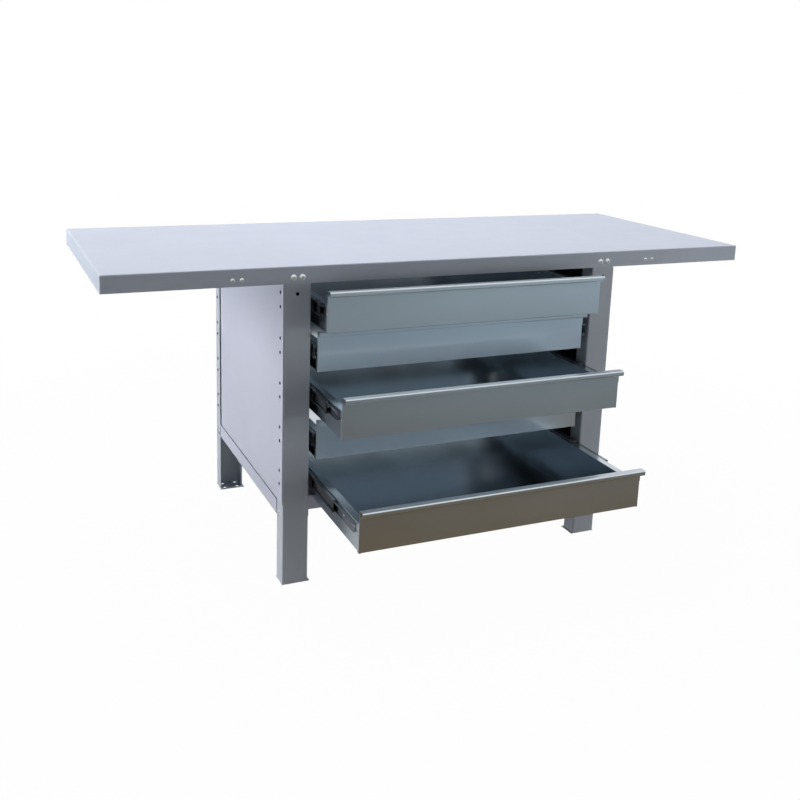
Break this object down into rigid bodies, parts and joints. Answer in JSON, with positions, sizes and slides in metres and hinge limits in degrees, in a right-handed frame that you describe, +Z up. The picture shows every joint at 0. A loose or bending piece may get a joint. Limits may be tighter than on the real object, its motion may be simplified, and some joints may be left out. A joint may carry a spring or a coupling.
{
  "type": "workbench",
  "caption": "Steel workbench with a folded sheet worktop on channel legs, side panels, and a stack of full-width drawers on full-extension slides with folded handle lips.",
  "frame": {"origin": "On the floor, at the centre of the outer floor anchor holes, which is straight under the worktop's centre.", "axes": "+X to the right along the worktop, +Y to the back, +Z up; the drawers open towards -Y."},
  "size_m": [1.845, 1.0462, 0.85],
  "materials": {
    "worktop_paint": "light grey powder coat, satin",
    "panel_paint": "light grey powder coat, satin",
    "frame_paint": "mid grey powder coat, satin",
    "dark_paint": "dark grey paint, matt",
    "drawer_zinc": "zinc-plated sheet, smooth",
    "slide_steel": "bright zinc-plated rolled steel",
    "bright_zinc": "bright zinc plating"
  },
  "bodies": {
    "bench": {"worktop": "worktop_paint", "overhang_stiffener_left": "frame_paint", "overhang_stiffener_right": "frame_paint", "front_leg_left": "frame_paint", "front_leg_right": "frame_paint", "rear_leg_left": "frame_paint", "rear_leg_right": "frame_paint", "front_foot_left": "frame_paint", "front_foot_right": "frame_paint", "rear_foot_left": "frame_paint", "rear_foot_right": "frame_paint", "side_panel_left": "panel_paint", "side_panel_right": "panel_paint", "side_rail_left": "panel_paint", "side_rail_right": "panel_paint", "front_rail": "panel_paint", "rear_rail": "panel_paint", "slide_carriers_left": "dark_paint", "slide_carriers_right": "dark_paint", "slide_mount_screws": "bright_zinc", "leg_bolts": "bright_zinc", "leg_nuts": "bright_zinc", "stiffener_bolts": "bright_zinc", "stiffener_nuts": "bright_zinc", "rail_bolts": "bright_zinc", "rail_nuts": "bright_zinc", "panel_rivets_left": "bright_zinc", "panel_rivets_right": "bright_zinc", "drawer_1_slide_outer": "slide_steel", "drawer_2_slide_outer": "slide_steel", "drawer_3_slide_outer": "slide_steel", "drawer_4_slide_outer": "slide_steel", "drawer_5_slide_outer": "slide_steel"},
    "drawer_1": {"drawer_1_front": "drawer_zinc", "drawer_1_tray": "drawer_zinc", "drawer_1_slide_inner": "slide_steel", "drawer_1_screws": "bright_zinc"},
    "drawer_1_middle": {"drawer_1_slide_middle": "slide_steel"},
    "drawer_2": {"drawer_2_front": "drawer_zinc", "drawer_2_tray": "drawer_zinc", "drawer_2_slide_inner": "slide_steel", "drawer_2_screws": "bright_zinc"},
    "drawer_2_middle": {"drawer_2_slide_middle": "slide_steel"},
    "drawer_3": {"drawer_3_front": "drawer_zinc", "drawer_3_tray": "drawer_zinc", "drawer_3_slide_inner": "slide_steel", "drawer_3_screws": "bright_zinc"},
    "drawer_3_middle": {"drawer_3_slide_middle": "slide_steel"},
    "drawer_4": {"drawer_4_front": "drawer_zinc", "drawer_4_tray": "drawer_zinc", "drawer_4_slide_inner": "slide_steel", "drawer_4_screws": "bright_zinc"},
    "drawer_4_middle": {"drawer_4_slide_middle": "slide_steel"},
    "drawer_5": {"drawer_5_front": "drawer_zinc", "drawer_5_tray": "drawer_zinc", "drawer_5_slide_inner": "slide_steel", "drawer_5_screws": "bright_zinc"},
    "drawer_5_middle": {"drawer_5_slide_middle": "slide_steel"}
  },
  "joints": [
    {"name": "drawer_1_slide", "type": "slide", "parent": "bench", "child": "drawer_1", "axis": [0, -1, 0], "range_m": [-0.07, 0.49]},
    {"name": "drawer_1_middle_slide", "type": "slide", "parent": "bench", "child": "drawer_1_middle", "axis": [0, -1, 0], "range_m": [-0.035, 0.245]},
    {"name": "drawer_2_slide", "type": "slide", "parent": "bench", "child": "drawer_2", "axis": [0, -1, 0], "range_m": [0, 0.56]},
    {"name": "drawer_2_middle_slide", "type": "slide", "parent": "bench", "child": "drawer_2_middle", "axis": [0, -1, 0], "range_m": [0, 0.28]},
    {"name": "drawer_3_slide", "type": "slide", "parent": "bench", "child": "drawer_3", "axis": [0, -1, 0], "range_m": [-0.186, 0.374]},
    {"name": "drawer_3_middle_slide", "type": "slide", "parent": "bench", "child": "drawer_3_middle", "axis": [0, -1, 0], "range_m": [-0.093, 0.187]},
    {"name": "drawer_4_slide", "type": "slide", "parent": "bench", "child": "drawer_4", "axis": [0, -1, 0], "range_m": [0, 0.56]},
    {"name": "drawer_4_middle_slide", "type": "slide", "parent": "bench", "child": "drawer_4_middle", "axis": [0, -1, 0], "range_m": [0, 0.28]},
    {"name": "drawer_5_slide", "type": "slide", "parent": "bench", "child": "drawer_5", "axis": [0, -1, 0], "range_m": [-0.311, 0.249]},
    {"name": "drawer_5_middle_slide", "type": "slide", "parent": "bench", "child": "drawer_5_middle", "axis": [0, -1, 0], "range_m": [-0.1555, 0.1245]}
  ],
  "couplings": [
    {"joint": "drawer_1_middle_slide", "follows": "drawer_1_slide", "ratio": 0.5},
    {"joint": "drawer_2_middle_slide", "follows": "drawer_2_slide", "ratio": 0.5},
    {"joint": "drawer_3_middle_slide", "follows": "drawer_3_slide", "ratio": 0.5},
    {"joint": "drawer_4_middle_slide", "follows": "drawer_4_slide", "ratio": 0.5},
    {"joint": "drawer_5_middle_slide", "follows": "drawer_5_slide", "ratio": 0.5}
  ]
}
